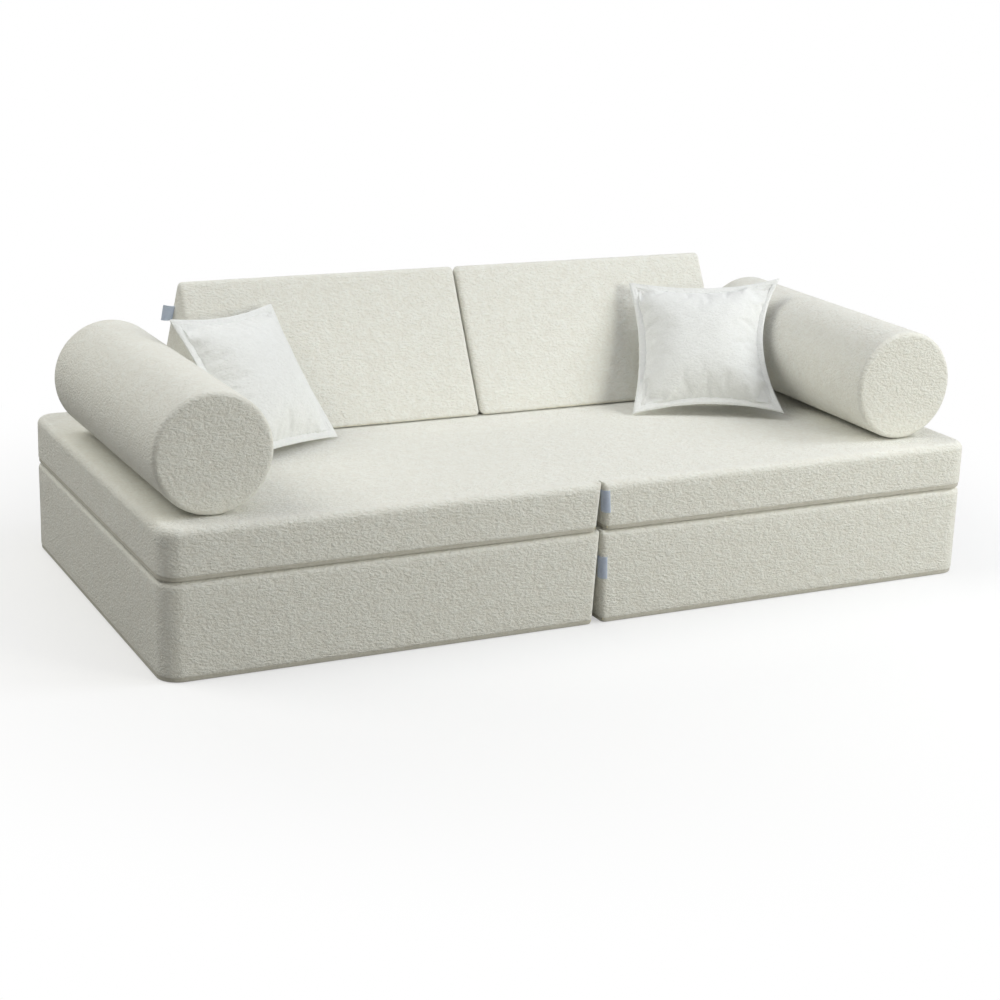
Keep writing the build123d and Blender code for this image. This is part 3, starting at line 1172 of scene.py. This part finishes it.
@dataclass
class Pillow:
    """A scatter pillow: blown-up body inside a flat flange."""

    name: str
    wardrobe: Wardrobe
    side: Side
    foot: tuple[float, float]
    turn: float
    lean: float
    roll: float
    seed: float
    hollows: tuple[float, float, float, float]
    size: float
    ear: float = 0.0
    flange: float = 0.0125
    flange_thickness: float = 0.007
    flange_rows: int = 6
    blunt: float = 0.012
    plump: float = 0.122
    first_arch: float = 0.55
    first_share: float = 0.7
    crease: float = 0.0018
    creases_per_metre: float = 24.0
    waves_per_metre: float = 22.0
    flange_tuck: float = 0.95
    ease: float = 0.05
    pressure: float = 8.0
    furthest: float = 0.075
    frames: int = 26
    cells: int = 56
    rest_gap: float = 0.0006
    insert_gap: float = 0.0035

    def half_body(self) -> float:
        """Give half of the body's corner-to-corner side."""
        return self.size / 2 - self.flange

    def standing(self) -> Matrix:
        """Give the matrix that leans the pillow on the seat, its face towards the front."""
        turn, lean, roll = (math.radians(value) for value in (self.turn, self.lean, self.roll))
        level = Vector((math.cos(turn), math.sin(turn), 0.0))
        away = Vector((-math.sin(turn), math.cos(turn), 0.0))
        slope = Vector((0.0, 0.0, math.cos(lean))) + away * math.sin(lean)
        across = level * math.cos(roll) + slope * math.sin(roll)
        upward = slope * math.cos(roll) - level * math.sin(roll)
        face = across.cross(upward)
        seat_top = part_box("seat_right_cover")[1][2]
        sunk = self.size / 2 * abs(across.z) + 0.003 * face.z
        foot = Vector((self.foot[0], self.foot[1], seat_top + self.rest_gap + sunk))
        return turned(across, upward, face, foot + upward * self.size / 2)

    def bowed(self, u: float, v: float, half: float) -> tuple[float, float]:
        """Place a point of the unit square inside edges that curve in and corners that are blunt.

        Args:
            u: Place across, from -1 to 1.
            v: Place upwards, from -1 to 1.
            half: Half of the corner-to-corner side.

        Returns:
            The point in metres.
        """
        left, right, top, low = self.hollows
        full = 1.0 - self.blunt * abs(u * v) ** 9
        pulled = self.ear * (u * v) ** 3 if u > 0 and v > 0 else 0.0
        sideways = right if u > 0 else left
        upright = top if v > 0 else low
        return (
            u * (half - sideways * (1.0 - v * v) * abs(u)) * full + pulled,
            v * (half - upright * (1.0 - u * u) * abs(v)) * (full if v > 0 else 1.0) + pulled,
        )

    def flat_body(self) -> Piece:
        """Cut two sheets of cloth and sew them round the edge."""
        deselect()
        bpy.ops.mesh.primitive_grid_add(x_subdivisions=self.cells, y_subdivisions=self.cells, size=2.0)
        piece = named(f"{self.name}_pile")
        count = len(piece.data.vertices)
        with editing(piece):
            bpy.ops.mesh.duplicate()
            bpy.ops.mesh.flip_normals()
        places = points_of(piece)
        for index, place in enumerate(places):
            u, v = place[0], place[1]
            x, y = self.bowed(u, v, self.half_body())
            edge = max(abs(u), abs(v))
            z = 0.0
            if edge < 1.0 - TINY:
                lift = self.first_arch * self.plump * (1.0 - u * u) ** 0.5 * (1.0 - v * v) ** 0.5
                rough = softness(x, y, 0.0, self.creases_per_metre, self.seed)
                wrinkle = self.crease * rough * (1.0 - edge ** 8)
                z = (self.first_share * lift + wrinkle) * (1.0 if index < count else -1.0)
            place[:] = (x, y, z)
        move_points(piece, places)
        with editing(piece):
            bpy.ops.mesh.remove_doubles(threshold=1e-5)
            bpy.ops.mesh.normals_make_consistent(inside=False)
        if max(piece.data.polygons, key=lambda face: face.center.z).normal.z < 0:
            with editing(piece):
                bpy.ops.mesh.flip_normals()
        return piece

    def blow_up(self, piece: Piece) -> None:
        """Fill the sewn sheets by cloth simulation and keep the result.

        Args:
            piece: The sewn sheets.
        """
        start = points_of(piece)
        activate(piece)
        seam = piece.vertex_groups.new(name="seam")
        seam.add([index for index, place in enumerate(start) if abs(place[2]) < TINY], 1.0, "REPLACE")
        modifier = piece.modifiers.new("fill", "CLOTH")
        settings = modifier.settings
        settings.vertex_group_mass = seam.name
        settings.shrink_min = -self.ease
        settings.quality = 6
        settings.mass = 0.25
        settings.tension_stiffness = settings.compression_stiffness = 12.0
        settings.shear_stiffness = 4.0
        settings.bending_stiffness = 0.4
        settings.tension_damping = settings.compression_damping = 8.0
        settings.use_pressure = True
        settings.uniform_pressure_force = self.pressure
        settings.effector_weights.gravity = 0.0
        modifier.collision_settings.use_collision = False
        modifier.point_cache.frame_start, modifier.point_cache.frame_end = 1, self.frames
        for step in range(1, self.frames + 1):
            bpy.context.scene.frame_set(step)
        bpy.ops.object.modifier_apply(modifier=modifier.name)
        bpy.context.scene.frame_set(1)
        moved = points_of(piece) - start
        far = np.linalg.norm(moved, axis=1, keepdims=True)
        move_points(piece, start + moved * np.minimum(1.0, self.furthest / np.maximum(far, 1e-9)))

    def fit(self, piece: Piece) -> None:
        """Bring the filled body to its plumpness.

        Args:
            piece: The filled body.
        """
        places = points_of(piece)
        wide = np.abs(places[:, :2]).max()
        thick = np.abs(places[:, 2]).max()
        LOG.info("%s: filled to %.0f mm wide, %.0f mm thick", self.name, 2000 * wide, 2000 * thick)
        places[:, 2] *= self.plump / 2 / thick
        move_points(piece, places)

    def rim(self) -> list[tuple[float, float]]:
        """List the unit square's edge points in order, from its lower left corner."""
        runs = [-1 + 2 * step / self.cells for step in range(self.cells)]
        low, right = [(run, -1.0) for run in runs], [(1.0, run) for run in runs]
        return low + right + [(-run, 1.0) for run in runs] + [(-1.0, -run) for run in runs]

    def flange_ring(self) -> Piece:
        """Make the flat flange round the body.

        Returns:
            The flange as a closed ring.
        """
        rim = self.rim()
        rows = self.flange_rows
        deselect()
        bpy.ops.mesh.primitive_torus_add(
            major_segments=len(rim), minor_segments=2 * rows, major_radius=1.0, minor_radius=0.1, location=(0, 0, 0)
        )
        ring = named(f"{self.name}_flange")
        places = points_of(ring)
        for index, (u, v) in enumerate(rim):
            outer = Vector((*self.bowed(u, v, self.size / 2), 0.0))
            inner = Vector((*self.bowed(u, v, self.half_body()), 0.0)) * self.flange_tuck
            for row in range(2 * rows):
                share = row / rows if row <= rows else 2.0 - row / rows
                upper = 1.0 if 0 < row < rows else (-1.0 if row > rows else 0.0)
                spot = inner.lerp(outer, share)
                wave = self.crease * softness(outer.x, outer.y, share, self.waves_per_metre, self.seed) * share
                height = upper * self.flange_thickness / 2 + wave
                places[index * 2 * rows + row] = (spot.x, spot.y, height)
        move_points(ring, places)
        return ring

    def build(self) -> None:
        """Build and dress the pillow."""
        body = f"pillow_{self.side.value}"
        pile = self.flat_body()
        self.blow_up(pile)
        self.fit(pile)
        insert = copy_of(pile, f"{self.name}_fill")
        ring = self.flange_ring()
        activate(ring)
        pile.select_set(True)
        bpy.context.view_layer.objects.active = pile
        bpy.ops.object.join()
        with editing(insert):
            bpy.ops.transform.shrink_fatten(value=-self.insert_gap)
        for piece, cloth, node, label in (
            (pile, self.wardrobe.pillow, "cover", "pillow_cloth"),
            (insert, self.wardrobe.fibre, "insert", "fibre_fill"),
        ):
            piece.data.transform(self.standing())
            finish_mesh(piece, cloth, 75.0)
            hand_over(piece, body, f"{body}_{node}")
        LOG.info("%s: pillow and fill", body)


# ---------------------------------------------------------------- room, light and camera


@dataclass(frozen=True)
class Lamp:
    """One soft square lamp that points at the sofa: place, side in metres, watts and colour."""

    name: str
    place: Place
    size: float
    power: float
    colour: Colour
    aim: Place = (0.0, 0.0, 0.25)

    def build(self) -> None:
        """Hang the lamp."""
        data = bpy.data.lights.new(self.name, "AREA")
        data.size = self.size
        data.energy = self.power
        data.color = self.colour
        lamp = bpy.data.objects.new(self.name, data)
        lamp.location = self.place
        lamp.rotation_euler = (Vector(self.aim) - Vector(self.place)).to_track_quat("-Z", "Y").to_euler()
        bpy.context.collection.objects.link(lamp)


LAMPS = (
    Lamp("key", (3.3, -1.5, 2.9), 1.8, 72.0, (0.92, 0.945, 1.0)),
    Lamp("fill", (2.2, -3.5, 1.6), 1.6, 67.0, (1.0, 1.0, 0.91)),
    Lamp("left", (-2.6, 0.7, 3.5), 2.5, 72.0, (1.0, 1.0, 0.94)),
    Lamp("front", (-1.9, -4.1, 2.7), 2.0, 3.0, (1.0, 1.0, 0.93)),
    Lamp("top", (0.2, -0.5, 4.2), 3.0, 22.0, (0.80, 0.84, 1.0)),
    Lamp("rear", (-0.6, 4.0, 2.4), 2.0, 22.0, (1.0, 1.0, 0.96)),
)


@dataclass
class Room:
    """The pale floor, the soft light and the camera of the photograph."""

    camera_place: Place = (-2.0616, -4.079, 1.5116)
    yaw: float = 0.468
    pitch: float = 0.292
    roll: float = 0.033
    focal_pixels: float = 2089.0
    picture_pixels: float = 1000.0
    sensor: float = 36.0
    floor_size: float = 60.0
    floor_colour: Colour = (0.96, 0.96, 0.96)
    bounce_colour: Colour = (0.32, 0.315, 0.30)
    ambient_colour: Colour = (1.0, 0.99, 0.97)
    ambient: float = 0.22

    def floor(self) -> None:
        """Lay the floor: it takes the shadow near the sofa and fades to white further off."""
        deselect()
        bpy.ops.mesh.primitive_plane_add(size=self.floor_size, location=(0.0, 0.0, -0.0005))
        plane = named("floor")
        settle(plane)
        material, tree, shader = new_material("pale_floor")
        length = add_node(tree, "VectorMath", {0: object_place(tree)}, operation="LENGTH").outputs["Value"]
        limits = {"From Min": 0.8, "From Max": 1.9, "To Min": 0.45, "Value": length}
        fade = add_node(tree, "MapRange", limits, interpolation_type="SMOOTHERSTEP").outputs[0]
        seen = directly_seen(tree)
        colour = mix_colours(tree, seen, (*self.bounce_colour, 1.0), (*self.floor_colour, 1.0))
        feed(tree, shader, {"Base Color": colour, "Roughness": 0.9, "Specular IOR Level": 0.1})
        glow = add_node(tree, "Emission", {"Color": (1.0, 1.0, 1.0, 1.0)})
        share = math_node(tree, "MULTIPLY", fade, seen)
        mix = add_node(tree, "MixShader", {0: share, 1: shader.outputs[0], 2: glow.outputs[0]})
        feed(tree, tree.nodes["Material Output"], {"Surface": mix.outputs[0]})
        plane.data.materials.append(material)

    def world(self) -> None:
        """Fill the room with soft light and show white behind it."""
        world = bpy.data.worlds.new("soft_room")
        bpy.context.scene.world = world
        world.use_nodes = True
        tree = world.node_tree
        tree.nodes.clear()
        ambient = add_node(tree, "Background", {"Color": (*self.ambient_colour, 1.0), "Strength": self.ambient})
        white = add_node(tree, "Background", {"Color": (1.0, 1.0, 1.0, 1.0), "Strength": 1.0})
        shaders = {0: directly_seen(tree), 1: ambient.outputs[0], 2: white.outputs[0]}
        add_node(tree, "OutputWorld", {"Surface": add_node(tree, "MixShader", shaders).outputs[0]})

    def camera(self) -> None:
        """Set the camera where the photograph's was."""
        data = bpy.data.cameras.new("photo_camera")
        data.sensor_width = self.sensor
        data.sensor_fit = "HORIZONTAL"
        data.lens = self.focal_pixels * self.sensor / self.picture_pixels
        data.clip_end = 200.0
        camera = bpy.data.objects.new("photo_camera", data)
        level = math.cos(self.pitch)
        forward = Vector((math.sin(self.yaw) * level, math.cos(self.yaw) * level, -math.sin(self.pitch)))
        right = forward.cross(Z_AXIS).normalized()
        up = right.cross(forward)
        across = right * math.cos(self.roll) + up * math.sin(self.roll)
        upward = up * math.cos(self.roll) - right * math.sin(self.roll)
        camera.matrix_world = turned(across, upward, -forward, Vector(self.camera_place))
        bpy.context.collection.objects.link(camera)
        bpy.context.scene.camera = camera

    def build(self) -> None:
        """Set up the whole room."""
        bpy.context.scene.view_settings.view_transform = "Standard"
        self.floor()
        self.world()
        for lamp in LAMPS:
            lamp.build()
        self.camera()
        LOG.info("room, light and camera")


# ---------------------------------------------------------------- the sofa


def dress_nodes(wardrobe: Wardrobe) -> None:
    """Give every carried-over node its material.

    Args:
        wardrobe: The materials.
    """
    for name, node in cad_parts.items():
        node.data.materials.clear()
        node.data.materials.append(wardrobe.for_node(name))


def build_backs(wardrobe: Wardrobe) -> None:
    """Build both wedge backs and the tag on the left one.

    Args:
        wardrobe: The materials.
    """
    for side, seed in ((Side.LEFT, 11.0), (Side.RIGHT, 17.0)):
        body = f"back_{side.value}"
        back = WedgeBack(f"{body}_boucle", wardrobe.boucle, seed, end_radius=0.0115, dip=0.0012, side=side)
        cover = back.build()
        hand_over(cover, body, f"{body}_cover")
        if side is Side.LEFT:
            tag = BackTag(back, wardrobe.tag).build()
            hand_over(tag, body, "back_tag")
        LOG.info("%s: cover", body)


def build_bolsters(wardrobe: Wardrobe) -> None:
    """Build both bolsters.

    Args:
        wardrobe: The materials.
    """
    for side, turn, seed in ((Side.LEFT, 0.4, 23.0), (Side.RIGHT, -1.3, 29.0)):
        body = f"bolster_{side.value}"
        bolster = Bolster(f"{body}_boucle", wardrobe.boucle, seed, end_radius=0.012, turn=math.radians(turn))
        hand_over(bolster.build(), body, f"{body}_cover")
        LOG.info("%s: cover", body)


def build_pillows(wardrobe: Wardrobe) -> None:
    """Build both pillows: the left one leans out of shape over its bolster.

    Args:
        wardrobe: The materials.
    """
    Pillow(
        "left_pillow", wardrobe, Side.LEFT, foot=(-0.527, -0.042), turn=32.5, lean=36.5, roll=-3.5, seed=41.0,
        hollows=(0.018, 0.012, 0.017, 0.008), size=0.336,
    ).build()
    Pillow(
        "right_pillow", wardrobe, Side.RIGHT, foot=(0.494, -0.083), turn=-29.0, lean=41.5, roll=3.1, seed=47.0,
        hollows=(0.022, 0.042, 0.019, 0.026), size=0.357, ear=0.010,
    ).build()


def main() -> None:
    """Build the sofa piece by piece and light it."""
    logging.basicConfig(level=logging.INFO, format="%(name)s %(relativeCreated)d ms: %(message)s")
    wardrobe = Wardrobe()
    dress_nodes(wardrobe)
    Mattress("base", wardrobe, 1.0, top_radius=0.016).build()
    Mattress("seat", wardrobe, 5.0).build()
    build_backs(wardrobe)
    build_bolsters(wardrobe)
    build_pillows(wardrobe)
    Room().build()


if __name__ == "__main__":
    main()
